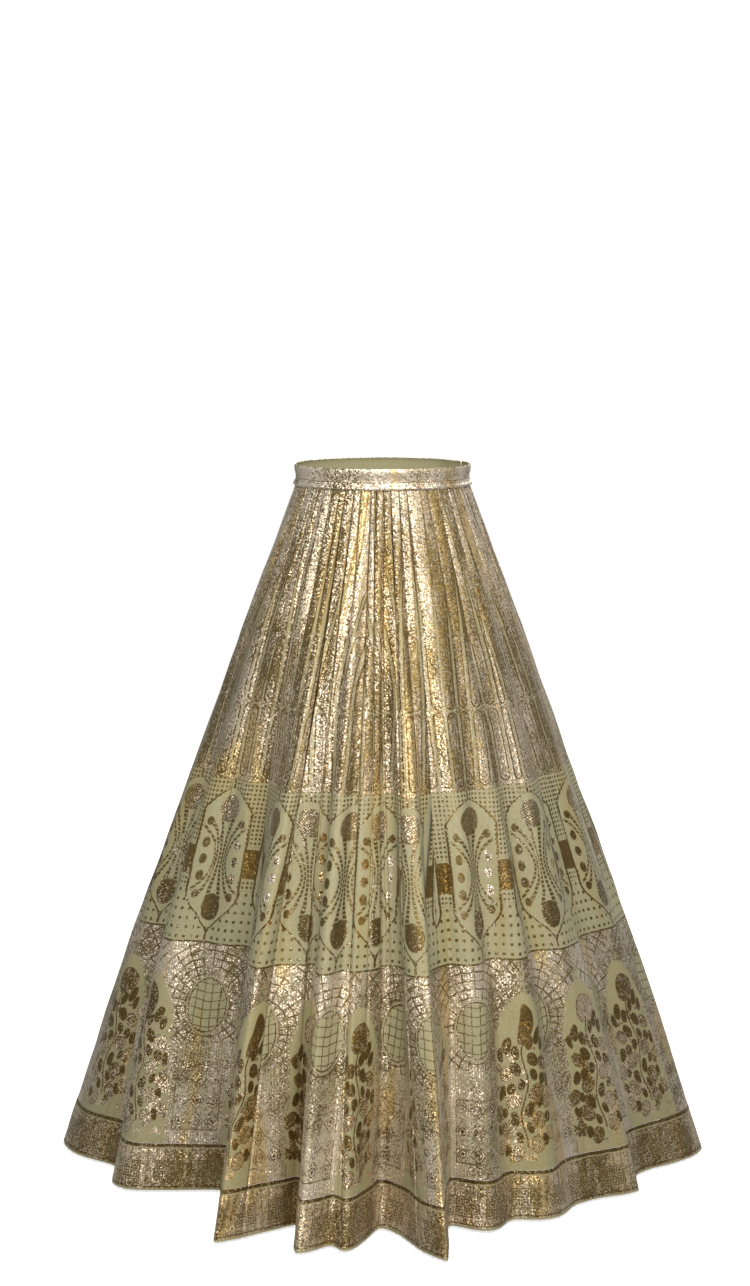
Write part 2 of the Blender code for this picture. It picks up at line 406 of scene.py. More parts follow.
def fold_height(shares):
    """The height of the folds, of about two pleats each and uneven, from -1 to 1."""
    turn = 2 * np.pi * shares
    sway = 0.16 * np.sin(5 * turn + 0.6) + 0.10 * np.sin(9 * turn + 2.0)
    height = 0.78 + 0.22 * np.sin(7 * turn + 1.1)
    return height * np.sin(turn * PLEATS / 2 + 2 * np.pi * sway)


def slack(shares):
    """How much of the folds' height shows high on the skirt, where some of them are drawn nearly flat."""
    turn = 2 * np.pi * shares
    return 0.55 + 0.25 * np.sin(3 * turn + 1.3) + 0.2 * np.sin(8 * turn + 0.4)


PATH_SHARES = np.arange(PLEATS * PATH_STEPS) / (PLEATS * PATH_STEPS)
HEM_ANGLE, HEM_REACH = hem_places(PATH_SHARES)
WAIST_ANGLE = waist_angles(PATH_SHARES)
FOLD_HEIGHT = fold_height(PATH_SHARES)
SLACK = slack(PATH_SHARES)


def closed(values, turn=0.0):
    """A ring's values with the first one again at the end, a turn later."""
    return np.append(values, values[0] + turn)


def outward(x, y, reach):
    """Unit vectors square to a closed ring, out of the skirt, from the chord over some steps each way."""
    along_x = np.roll(x, -reach) - np.roll(x, reach)
    along_y = np.roll(y, -reach) - np.roll(y, reach)
    length = np.hypot(along_x, along_y)
    return -along_y / length, along_x / length


class Path:
    """The folded cloth's line round the body at one height, with the pleats' faces closed up over their grooves."""

    def __init__(self, drop):
        half_width, half_depth = smooth_table(BODY, drop)
        pleat, fold = smooth_table(RELIEF, drop)[:2] * MM
        grown = max(drop - FOLD_START, 0) / (1 - FOLD_START)
        turned = grown**FOLD_TURN
        angle = np.radians(WAIST_ANGLE * (1 - turned) + HEM_ANGLE * turned)
        out = HEM_REACH * grown**FOLD_GROWTH
        x = (half_width + out) * np.sin(angle)
        y = -(half_depth + out) * np.cos(angle)
        normal_x, normal_y = outward(x, y, CHORD_STEPS)
        steps = np.hypot(np.roll(x, -1) - x, np.roll(y, -1) - y)
        total = np.concatenate([[0], np.cumsum(np.tile(steps, 3))])
        here = np.arange(len(x)) + len(x)
        room = total[here + PATH_STEPS // 2] - total[here - PATH_STEPS // 2]
        lift = np.minimum(pleat, PLEAT_LIMIT * room)
        shown = SLACK + (1 - SLACK) * ease((drop - SLACK_FROM) / SLACK_OVER)
        lift = lift + np.minimum(fold, FOLD_LIMIT * room) * FOLD_HEIGHT * shown
        self.x = x + normal_x * lift
        self.y = y + normal_y * lift
        self.normal = outward(self.x, self.y, CHORD_STEPS // 2)
        steps = np.hypot(np.roll(self.x, -1) - self.x, np.roll(self.y, -1) - self.y)
        self.along = np.concatenate([[0], np.cumsum(steps)])
        self.length = self.along[-1]

    def at_share(self, share):
        """How far along the line a share of the cloth is."""
        turns = np.floor(share)
        return np.interp(share - turns, closed(PATH_SHARES, 1.0), self.along) + turns * self.length

    def points(self, along, out):
        """x and y at distances along the line, moved out from it."""
        place = along % self.length
        x, y, normal_x, normal_y = (
            np.interp(place, self.along, closed(values)) for values in (self.x, self.y, *self.normal)
        )
        size = np.hypot(normal_x, normal_y)
        return x + out * normal_x / size, y + out * normal_y / size


CLOTH_ROUND = Path(1.0).length
PLEAT_CLOTH = CLOTH_ROUND / PLEATS


def uneven_pleats():
    """For each boundary between pleats: its shift in shares of a pleat, how much of the spare cloth it keeps at
    the waist and low on the skirt, and the phase and size of its sway. The seams' boundaries stay where they are."""
    rng = np.random.default_rng(PLEAT_SEED)
    shift = rng.uniform(-SHIFT_MOST, SHIFT_MOST, PLEATS)
    keeps = LEAST_KEPT + MORE_KEPT * rng.uniform(0, 1, PLEATS)
    waist_keeps = LEAST_KEPT + MORE_KEPT_AT_WAIST * rng.uniform(0, 1, PLEATS)
    phase = rng.uniform(0, 2 * np.pi, PLEATS)
    sway = rng.uniform(0.4, 1.0, PLEATS)
    keeps[list(KEPT)] = rng.uniform(0.9, 1.1, len(KEPT))
    waist_keeps[list(KEPT)] = rng.uniform(0.8, 1.2, len(KEPT))
    keeps[EASED] = EASED_KEEPS
    shift[EASED] = EASED_SHIFT
    shift[::PLEATS_A_SIDE] = 0
    sway[::PLEATS_A_SIDE] = 0
    return shift, waist_keeps, keeps, phase, sway


SHIFT, WAIST_KEEPS, KEEPS, SWAY_PHASE, SWAY = uneven_pleats()


def crumple(along, down):
    """Slow, shallow unevenness of the cloth, from -1 to 1, longer down the cloth than across it."""
    height = 0.0
    for across, downwards, phase, size in CRUMPLE_WAVES:
        bend = 1.6 * np.sin(2.3 * downwards * down + phase)
        height = height + size * np.sin(across * along + downwards * down + phase + bend)
    return height


def hidden_cloth(drop, path):
    """The cloth that each groove holds at a height, its first and last being one seam's. A side's grooves hold
    exactly the cloth that its faces leave over."""
    keeps = WAIST_KEEPS + (KEEPS - WAIST_KEEPS) * ease((drop - LOOSE_FROM) / LOOSE_OVER)
    spare = PLEAT_CLOTH - np.diff(path.at_share(np.arange(PLEATS + 1) / PLEATS))
    near = np.maximum((spare + np.roll(spare, 1)) / 2, 0)
    reach = range(-SPREAD, SPREAD + 1)
    hidden = keeps * sum(np.roll(near, i) for i in reach) / sum(np.roll(keeps, i) for i in reach)
    for side in range(len(SIDES)):
        first = side * PLEATS_A_SIDE
        inner = slice(first + 1, first + PLEATS_A_SIDE)
        seams = (hidden[first] + hidden[(first + PLEATS_A_SIDE) % PLEATS]) / 2
        left_over = spare[first : first + PLEATS_A_SIDE].sum() - seams
        hidden[inner] *= max(left_over, 0) / max(hidden[inner].sum(), 1e-9)
    return closed(hidden)


def pleated_row(drop, down):
    """One row of the whole skirt at a height: x, y and the distance along the cloth, for each pleat and each of
    its columns. A pleat's columns run from the bottom of the groove before it to just short of the next one's."""
    path = Path(drop)
    depth, mouth, fall = smooth_table(RELIEF, drop)[2:] * MM
    sway = SWAY_MOST * SWAY * np.sin(7 * drop + SWAY_PHASE) * ease(drop / SWAY_OVER)
    middle = closed(path.at_share((np.arange(PLEATS) + SHIFT + sway) / PLEATS), path.length)
    width = np.diff(middle)
    hidden = hidden_cloth(drop, path)
    cloth = np.concatenate([[0], np.cumsum(width + (hidden[:-1] + hidden[1:]) / 2)])
    cloth *= CLOTH_ROUND / cloth[-1]
    drawn = ease((hidden - BARE) / DRAWN_IN)
    half = FLAT_MOUTH * (1 - drawn) + mouth * drawn
    phase = closed(SWAY_PHASE)
    deep = np.minimum(depth, np.maximum(hidden - BARE, 0) / 2) * (0.75 + 0.25 * np.sin(3 * phase + 9 * drop))
    angle = np.radians(np.interp(middle % path.length, path.along, closed(HEM_ANGLE, -360)))
    side = np.tanh(np.sin(angle) / TURN_OVER)
    edge = np.minimum(fall, FALL_LIMIT * closed(width)) * drawn
    fall_ahead = edge * (1 - OVERLAP * side)
    fall_behind = edge * (1 + OVERLAP * side)
    start_cloth = cloth[:-1] + half[:-1] + hidden[:-1] / 2
    end_cloth = cloth[1:] - half[1:] - hidden[1:] / 2

    def wall(place, which, way, fallen, mouth_cloth):
        """The wall of each groove at a share of its depth, on one side of its middle."""
        along = middle[which] + way * half[which] * (1 - place**3) + LEAN * side[which] * deep[which] * place**1.5
        out = -fallen[which] - (deep + edge - fallen)[which] * math.sin(place * math.pi / 2)
        return along, out, mouth_cloth + (cloth[which] - mouth_cloth) * place

    first = slice(0, PLEATS)
    second = slice(1, PLEATS + 1)
    columns = [wall(place, first, 1, fall_ahead, start_cloth) for place in (1.0, *reversed(WALL_PLACES))]
    swell = np.minimum(CRUMPLE, CRUMPLE_LIMIT * width) * ease(drop / CRUMPLE_OVER)
    for face in np.linspace(0, 1, FACE_COLUMNS):
        along = (middle + half)[:-1] * (1 - face) + (middle - half)[1:] * face
        cloth_along = start_cloth * (1 - face) + end_cloth * face
        out = -fall_ahead[:-1] * (1 - face) ** 3 - fall_behind[1:] * face**3
        out = out + swell * crumple(cloth_along, down) * math.sin(math.pi * min(max(face, 0.02), 0.98))
        columns.append((along, out, cloth_along))
    columns += [wall(place, second, -1, fall_behind, end_cloth) for place in WALL_PLACES]
    along, out, cloth_along = (np.array(rows).T.ravel() for rows in zip(*columns))
    x, y = path.points(along, out)
    return closed(x), closed(y), closed(cloth_along, CLOTH_ROUND)


COLUMNS_A_SIDE = PLEATS_A_SIDE * (FACE_COLUMNS + 1 + 2 * len(WALL_PLACES))


def pleated_rows(drops, proud):
    """The whole skirt's points and cloth coordinates for some heights, moved out by a little."""
    points = []
    cloth = []
    for drop in drops:
        down = drop * CLOTH_LENGTH
        x, y, along = pleated_row(drop, down)
        normal_x, normal_y = outward(x[:-1], y[:-1], 2)
        x = x + proud * closed(normal_x)
        y = y + proud * closed(normal_y)
        points.append(np.stack([x, y, np.full_like(x, SKIRT_TOP - SKIRT_DROP * drop)], axis=1))
        cloth.append(np.stack([along, np.full_like(along, down)], axis=1))
    return np.array(points), np.array(cloth)


def side_of(points, cloth, side):
    """One side's columns, short of each seam by half its gap, and its cloth coordinates from its first seam."""
    first = side * COLUMNS_A_SIDE
    # Each end moves towards a column a little way in, past the groove's close walls.
    piece = points[:, first : first + COLUMNS_A_SIDE + 1].copy()
    for end, neighbour in ((0, 4), (-1, -5)):
        step = piece[:, neighbour] - piece[:, end]
        piece[:, end] += step / np.linalg.norm(step, axis=1)[:, None] * SEAM_GAP / 2
    own_cloth = cloth[:, first : first + COLUMNS_A_SIDE + 1].copy()
    own_cloth[..., 0] -= PLEAT_CLOTH * PLEATS_A_SIDE * side
    return piece, own_cloth


def add_object(name, points, faces, coordinates, materials, face_materials):
    """A smooth mesh with a UV map read from each vertex, and a material for each face."""
    mesh = bpy.data.meshes.new(name)
    mesh.from_pydata(points.reshape(-1, 3).tolist(), [], faces.tolist())
    layer = mesh.uv_layers.new(name="cloth")
    layer.data.foreach_set("uv", coordinates.reshape(-1, 2)[faces.ravel()].ravel())
    mesh.polygons.foreach_set("use_smooth", [True] * len(faces))
    mesh.polygons.foreach_set("material_index", face_materials)
    for material in materials:
        mesh.materials.append(material)
    mesh.update()
    obj = bpy.data.objects.new(name, mesh)
    bpy.context.scene.collection.objects.link(obj)
    return obj


def grid_faces(rows, columns):
    """The four-sided faces of a grid of vertices, each facing out of the skirt."""
    i, j = np.meshgrid(np.arange(rows - 1), np.arange(columns - 1), indexing="ij")
    corner = (i * columns + j).ravel()
    return np.stack([corner, corner + 1, corner + columns + 1, corner + columns], axis=1)


def apply_modifiers(obj):
    """Makes the object's mesh the result of its modifiers."""
    graph = bpy.context.evaluated_depsgraph_get()
    mesh = bpy.data.meshes.new_from_object(obj.evaluated_get(graph), preserve_all_data_layers=True, depsgraph=graph)
    mesh.name = obj.name
    obj.modifiers.clear()
    obj.data = mesh


def add_shell(name, points, coordinates, row_materials, materials, thickness):
    """A closed shell of cloth inwards from a grid of points, with crisp cut edges. Its last material is the
    cloth's reverse."""
    rows, columns = points.shape[:2]
    face_materials = np.repeat(row_materials, columns - 1)
    obj = add_object(name, points, grid_faces(rows, columns), coordinates, materials, face_materials)
    shell = obj.modifiers.new("thickness", "SOLIDIFY")
    shell.thickness = thickness
    shell.offset = -1
    shell.material_offset = len(materials) - 1
    apply_modifiers(obj)
    # The shell's cut edges are the faces after its two sides.
    mesh = obj.data
    edges = np.empty(len(mesh.loops), dtype=np.int32)
    mesh.loops.foreach_get("edge_index", edges)
    crisp = np.zeros(len(mesh.edges), dtype=bool)
    crisp[edges[mesh.polygons[2 * len(face_materials)].loop_start :]] = True
    mesh.attributes.new("sharp_edge", "BOOLEAN", "EDGE").data.foreach_set("value", crisp)
    return obj


def set_inputs(tree, node, inputs):
    """Gives inputs of a node, by name or number, a value, another node's output or a Field."""
    for name, value in inputs.items():
        value = getattr(value, "socket", value)
        if isinstance(value, bpy.types.NodeSocket):
            tree.links.new(value, node.inputs[name])
        else:
            node.inputs[name].default_value = value


def add_node(tree, kind, inputs=None, **settings):
    """A node with its inputs and its settings."""
    node = tree.nodes.new(kind)
    for name, value in settings.items():
        setattr(node, name, value)
    set_inputs(tree, node, inputs or {})
    return node


class Field:
    """A number, or a vector, that varies over the cloth. Arithmetic on it adds the nodes that work it out."""

    def __init__(self, tree, socket):
        self.tree = tree
        self.socket = socket

    def math(self, operation, *others, clamp=False):
        inputs = dict(enumerate((self, *others)))
        node = add_node(self.tree, "ShaderNodeMath", inputs, operation=operation, use_clamp=clamp)
        return Field(self.tree, node.outputs[0])

    def vector(self, operation, *others, output="Vector"):
        node = add_node(self.tree, "ShaderNodeVectorMath", dict(enumerate((self, *others))), operation=operation)
        return Field(self.tree, node.outputs[output])

    def __add__(self, other):
        return self.math("ADD", other)

    def __sub__(self, other):
        return self.math("SUBTRACT", other)

    def __mul__(self, other):
        return self.math("MULTIPLY", other)

    def __abs__(self):
        return self.math("ABSOLUTE")

    def scaled(self, factor, shift):
        """The field times a factor, plus a shift."""
        return self.math("MULTIPLY_ADD", factor, shift)

    def rest(self):
        """1 less the field."""
        return self.scaled(-1, 1)

    def least(self, *others):
        field = self
        for other in others:
            field = field.math("MINIMUM", other)
        return field

    def most(self, *others):
        field = self
        for other in others:
            field = field.math("MAXIMUM", other)
        return field

    def ramp(self, start, end):
        """0 at start and 1 at end, straight between them."""
        return self.math("MULTIPLY_ADD", 1 / (end - start), -start / (end - start), clamp=True)

    def repeated(self, pitch, start=0.0):
        """The distance to the nearest of a row of places, a pitch apart from start on."""
        moved = self if start == 0 else self - start
        return moved.math("PINGPONG", pitch / 2)

    def over(self, cover, under):
        """The field where cover is 1, and another where it is 0."""
        return self * cover + cover.rest() * under


# Lengths in the print are in cm on the flat cloth. A shape is a field that is negative inside it. Each print gives
# the cover of two foils, the gold, broken into fine grains that take the real light and are partly painted pale as
# highlights, and the solid, smooth and darker, and how far they take the warm tint.
LINE_PITCH = 0.42
COLUMN_PITCH = 2.5415
OGEE_PITCH = 5 * COLUMN_PITCH
NICHE_PITCH = 8 * COLUMN_PITCH
DOT_PITCH = OGEE_PITCH / 18
SQUARE_PITCH = NICHE_PITCH / 15
EDGE = 0.06
OGEE_MIDDLE = 60.6
ROUNDEL_MIDDLE = 84.4
PANEL_MIDDLE = 100.2
# A niche's tree: each bloom's and each leaf's middle, across and down, and half its width and height.
TREE_BLOOMS = (
    (3.3, 92.4, 1.15, 1.2),
    (1.6, 96.6, 1.25, 1.3),
    (4.1, 98.3, 1.1, 1.2),
    (2.6, 101.2, 1.3, 1.35),
    (4.5, 103.6, 1.0, 1.2),
    (1.6, 105.0, 1.1, 1.4),
)
TREE_LEAVES = (
    (2.3, 88.0, 0.75, 1.35),
    (1.0, 89.0, 0.65, 1.1),
    (3.5, 89.4, 0.6, 1.1),
    (1.5, 91.6, 0.85, 1.15),
    (1.0, 94.0, 0.6, 0.95),
    (2.5, 94.7, 0.7, 0.9),
    (3.9, 95.3, 0.75, 1.1),
    (2.7, 98.5, 0.5, 0.8),
    (1.1, 99.5, 0.7, 1.2),
    (4.3, 100.9, 0.6, 0.9),
    (1.0, 102.4, 0.55, 0.9),
    (3.1, 104.3, 0.6, 1.0),
)


def fill(shape, soft=EDGE):
    """1 inside a shape and 0 outside it."""
    return shape.ramp(soft, -soft)


def line(shape, half_width):
    """1 on a shape's edge, to half a width each side."""
    return fill(abs(shape) - half_width)


def place(x, y):
    """Two fields as one vector."""
    return Field(x.tree, add_node(x.tree, "ShaderNodeCombineXYZ", {0: x, 1: y}).outputs[0])


def length(at):
    return at.vector("LENGTH", output="Value")


def oval(at, x, y, half_width, half_height):
    """An oval about a point, with its size from its smaller half."""
    scaled = at.vector(
        "MULTIPLY_ADD", (1 / half_width, 1 / half_height, 0), (-x / half_width, -y / half_height, 0)
    )
    size = min(half_width, half_height)
    return length(scaled).scaled(size, -size)


def upright_lines(along):
    """1 on fine upright lines, and 0 between them."""
    return fill(along.repeated(LINE_PITCH) - 0.13)


def seeds(x, y):
    """A close pattern of small seeds."""
    return length(place((x + y * 0.8).repeated(0.42), (y - x * 0.8).repeated(0.42))) - 0.13


def patches(along, down, scale, start, end):
    """Uneven patches: 0 where a noise is under its start value, 1 where it is over its end value."""
    noise = add_node(
        along.tree, "ShaderNodeTexNoise", {"Vector": place(along, down), "Scale": scale, "Detail": 2.0},
        noise_dimensions="2D",
    )
    return Field(along.tree, noise.outputs["Fac"]).ramp(start, end)


def stripes_print(along, down):
    """Gold all over in fine upright lines, parted lower down by green bars with pointed tops."""
    bar = along.repeated(COLUMN_PITCH) - down.ramp(8.0, 23.5) * 0.4
    lines = upright_lines(along)
    gold = lines.scaled(0.3, 0.7) * fill(bar).rest()
    solid = line(bar, 0.11).most(fill(bar) * 0.2, lines.scaled(-0.5, 0.5) * fill(bar).rest())
    return gold, solid, down.ramp(5.0, 16.0).scaled(0.5, 0.1)


def columns_print(along, down):
    """Two tiers of round-ended upright columns, each outlined, and holding a chain of small loops."""
    x = along.repeated(COLUMN_PITCH, COLUMN_PITCH / 2)
    y = abs(abs(down - 34.9) - 6.1) - 4.95
    column = length(place(x, y.most(0.0))) - 0.86
    loops = line(oval(place(x, down.repeated(1.9)), 0, 0, 0.3, 0.66), 0.07)
    between = line(x - COLUMN_PITCH / 2, 0.07)
    halo = line(column - 0.21, 0.04)
    lines = upright_lines(along)
    gold = lines.scaled(0.3, 0.7) * halo.rest() * between.rest()
    return gold, line(column, 0.13).most(loops * fill(column) * 0.8, lines.scaled(-0.4, 0.4)), 0.25


def ogees_print(along, down):
    """Dotted green cloth with a row of ogees, each with a round bloom, bowed strokes of beads and a drop, and a
    block of foil between each two."""
    signed = along.math("WRAP", OGEE_PITCH / 2, -OGEE_PITCH / 2)
    x = abs(signed)
    y = down - OGEE_MIDDLE
    at = place(x, y)
    # The ogee is an arch at its top, keeps its width, and curves in and out again to a point at its foot.
    arch = y.ramp(-11.5, -7.9).math("POWER", 0.5)
    foot = (y.ramp(5.4, 12.4) * math.pi).math("COSINE").scaled(0.5, 0.5).math("POWER", 0.8)
    ogee = x - arch * foot * 5.1
    bloom = oval(at, 0, -8.2, 2.3, 2.2)
    petals = seeds(x, y)
    drop = oval(at, 0, 8.0, 1.8, 2.2)
    # The strokes draw together at the ogee's middle and bow out above and below.
    spread = (y * y).scaled(0.032, 0.38)
    across = x.math("DIVIDE", spread)
    stagger = across.math("DIVIDE", 1.4).math("FLOOR") * 0.35
    strokes = (across.repeated(1.4, 0.7) * spread - spread.scaled(0.2, 0.11)).most((y + stagger).repeated(0.7) - 0.27)
    fan = strokes.most(across - 4.1, abs(y) + across * 0.5 - 7.1, x - 4.5)
    tips = oval(place(x, abs(y)), 3.5, 6.0, 0.6, 0.7)
    leaves = oval(place(x, (y - 0.2).repeated(2.7)), 3.45, 0, 0.62, 0.85).most(abs(y - 0.2) - 3.9)
    round_ones = fill(signed)
    knot = (abs(x - OGEE_PITCH / 2) - 1.2).most(abs(y - 0.4) - 2.4)
    dots = length(place(along.repeated(DOT_PITCH), down.repeated(0.72))) - 0.21
    dots_low = length(place(along.repeated(OGEE_PITCH / 10), down.repeated(1.5, 66.0))) - 0.27
    ground = fill(dots_low.most(down.scaled(-1, 65.4)).least(dots.most(down - 65.4)))
    outside = fill(ogee + 0.35).rest()
    inside = fill(bloom.most(petals * -1).least(drop, fan, tips)).most(fill(leaves) * round_ones.rest()) * fill(ogee)
    solid = (ground * outside * fill(knot - 0.4).rest()).most(line(ogee, 0.19), inside)
    gold = fill(knot).most(fill(bloom.most(petals)), fill(leaves) * round_ones)
    return gold, solid, fill(knot, 0.3)


def tree_print(along, down):
    """A flowering tree in a niche, on a stem that sways, its two sides unlike: gold blooms, and solid leaves. It
    ends in a round bloom or, in two niches of each panel, in a bud."""
    sway = (down * 0.62).math("SINE") * 0.5
    signed = (along + sway).math("WRAP", NICHE_PITCH / 2, -NICHE_PITCH / 2)
    x = abs(signed)
    middle = place(x, down)
    at = place(x, down + fill(signed) * 1.6)
    stem = (x - 0.12).most(abs(down - 94.8) - 9.2)
    budded = fill(abs(abs(along - NICHE_PITCH * 2.5) - NICHE_PITCH * 1.5) - NICHE_PITCH / 2)
    bud = oval(middle, 0, 84.6, 1.15, 3.3) + budded.rest()
    blooms = (oval(middle, 0, 84.3, 2.0, 2.3) + budded).least(*(oval(at, *row) for row in TREE_BLOOMS))
    # Loose scraps of foil lie between the leaves.
    scraps = patches(along, down, 0.42, 0.54, 0.57) * fill(abs(down - 97) - 9)
    leaves = stem.least(bud, *(oval(at, *row) for row in TREE_LEAVES))
    edge = abs(blooms + 0.05) - 0.05
    dark = seeds(x, down).most(blooms)
    return fill(blooms).most(scraps), fill(leaves.least(edge, dark))


def niches_print(along, down):
    """Gold cloth with arched niches that hold a flowering tree, and latticed roundels between them, each over a
    ribbed band and a framed panel of lozenges and rosettes."""
    x = along.repeated(NICHE_PITCH)
    arch = down.ramp(79.6, 87.0).math("POWER", 0.5) * 4.8 + down.ramp(95.6, 97.6) * 0.8
    niche = x - arch
    tree_gold, tree_solid = tree_print(along, down)

    middle = x.scaled(-1, NICHE_PITCH / 2)
    from_roundel = place(middle, down - ROUNDEL_MIDDLE)
    roundel = oval(from_roundel, 0, 0, 3.1, 4.2)
    lattice = middle.repeated(1.38, 0.69).least((down + middle * 0.15).repeated(1.42)) - 0.075
    away = length(from_roundel)
    bearing = middle.math("ARCTAN2", down - ROUNDEL_MIDDLE)
    ray = bearing.repeated(math.pi / 13)
    scallop = (ray * away).least((away + ray).repeated(1.3)) - 0.12
    # The foil's lines are worn in places.
    kept = patches(along, down, 0.3, 0.33, 0.54).scaled(0.7, 0.3)
    net = fill(scallop.most(down - 90.6, niche.scaled(-1, 0.3), roundel.scaled(-1, 0.5))) * kept

    ribbed = (abs(down - 91.8) - 1.9).most(middle - 4.1)
    ribs = fill(along.repeated(0.47) - 0.12)
    panel = (abs(down - PANEL_MIDDLE) - 5.2).most(middle - 3.9)
    cell = place(middle.repeated(2.6), down.repeated(3.47, PANEL_MIDDLE))
    lozenge = cell.vector("DOT_PRODUCT", (1.0, 0.75, 0.0), output="Value") - 1.2
    rosette = length(cell) - 0.62
    drawn = line(lozenge, 0.09).most(line(rosette, 0.1), line(panel + 0.3, 0.1), fill(rosette + 0.35))

    lines = upright_lines(along)
    gold = lines.scaled(0.3, 0.7)
    gold = gold * line(roundel - 0.4, 0.1).rest() * net.rest()
    gold = ribs.scaled(0.7, 0.2).over(fill(ribbed), gold)
    gold = fill(lozenge).scaled(0.35, 0.55).over(fill(panel), gold)
    gold = gold * fill(roundel).rest() * line(niche - 0.3, 0.1).rest()
    gold = tree_gold.over(fill(niche), gold)
    solid = net.most(fill(panel) * drawn * kept, fill(roundel) * fill(lattice), line(roundel - 0.15, 0.1))
    solid = solid.most(lines.scaled(-0.35, 0.35) * fill(roundel).rest())
    solid = tree_solid.over(fill(niche), solid)
    printed = fill(down.scaled(-1, 74.4))
    rule = line(down - 74.3, 0.15)
    return gold * printed, (solid * printed).most(rule), fill(niche).scaled(0.7, 0.2)


def border_print(along, down):
    """A rule, then gold with upright bars, parted by blocks of small framed squares."""
    cell = place(along.repeated(SQUARE_PITCH), down.repeated(SQUARE_PITCH, 111.2))
    split = add_node(along.tree, "ShaderNodeSeparateXYZ", {0: cell}).outputs
    square = Field(along.tree, split["X"]).most(Field(along.tree, split["Y"]))
    from_block = along.repeated(NICHE_PITCH / 3)
    block = (from_block - SQUARE_PITCH * 1.5).most(abs(down - 111.9) - SQUARE_PITCH)
    squares = line(square - 0.48, 0.1).most(fill(length(cell) - 0.22)) * fill(block)
    bars = fill(along.repeated(SQUARE_PITCH, SQUARE_PITCH / 2) - 0.17) * fill(block).rest() * 0.6
    posts = line(block - 0.15, 0.1)
    body = fill(abs(down - 111.6) - 3.3)
    lines = upright_lines(along)
    gold = lines.scaled(0.15, 0.85) * body * squares.rest() * posts.rest()
    rules = fill(down - 108.1).most(line(down - 114.6, 0.09))
    return gold, (squares.most(posts, bars, lines.scaled(-0.3, 0.3)) * body * 0.9).most(rules), 0.9


def waist_print(along, down):
    """Gold in a close, small grain, with a smoother lower third."""
    grain = fill(length(place(along.repeated(0.46), down.repeated(0.46))) - 0.2, 0.1)
    return grain.scaled(0.4, 0.6).most(fill(down.scaled(-1, 2.1))), line(down - 2.15, 0.06), 0.0


def new_material(name):
    """A material with its node tree and its shader."""
    material = bpy.data.materials.new(name)
    material.use_nodes = True
    return material, material.node_tree, material.node_tree.nodes["Principled BSDF"]


def slubbed_weave(tree, detail):
    """The cloth's own coordinates, and the slubs in its threads, drawn 1.5 mm wide in place of 0.2 mm."""
    uv = Field(tree, add_node(tree, "ShaderNodeUVMap", uv_map="cloth").outputs["UV"])
    threads = uv.vector("MULTIPLY", (650.0, 130.0, 1.0))
    slubs = add_node(
        tree, "ShaderNodeTexNoise", {"Vector": threads, "Scale": 1.0, "Detail": detail}, noise_dimensions="2D"
    )
    return uv, Field(tree, slubs.outputs["Fac"])


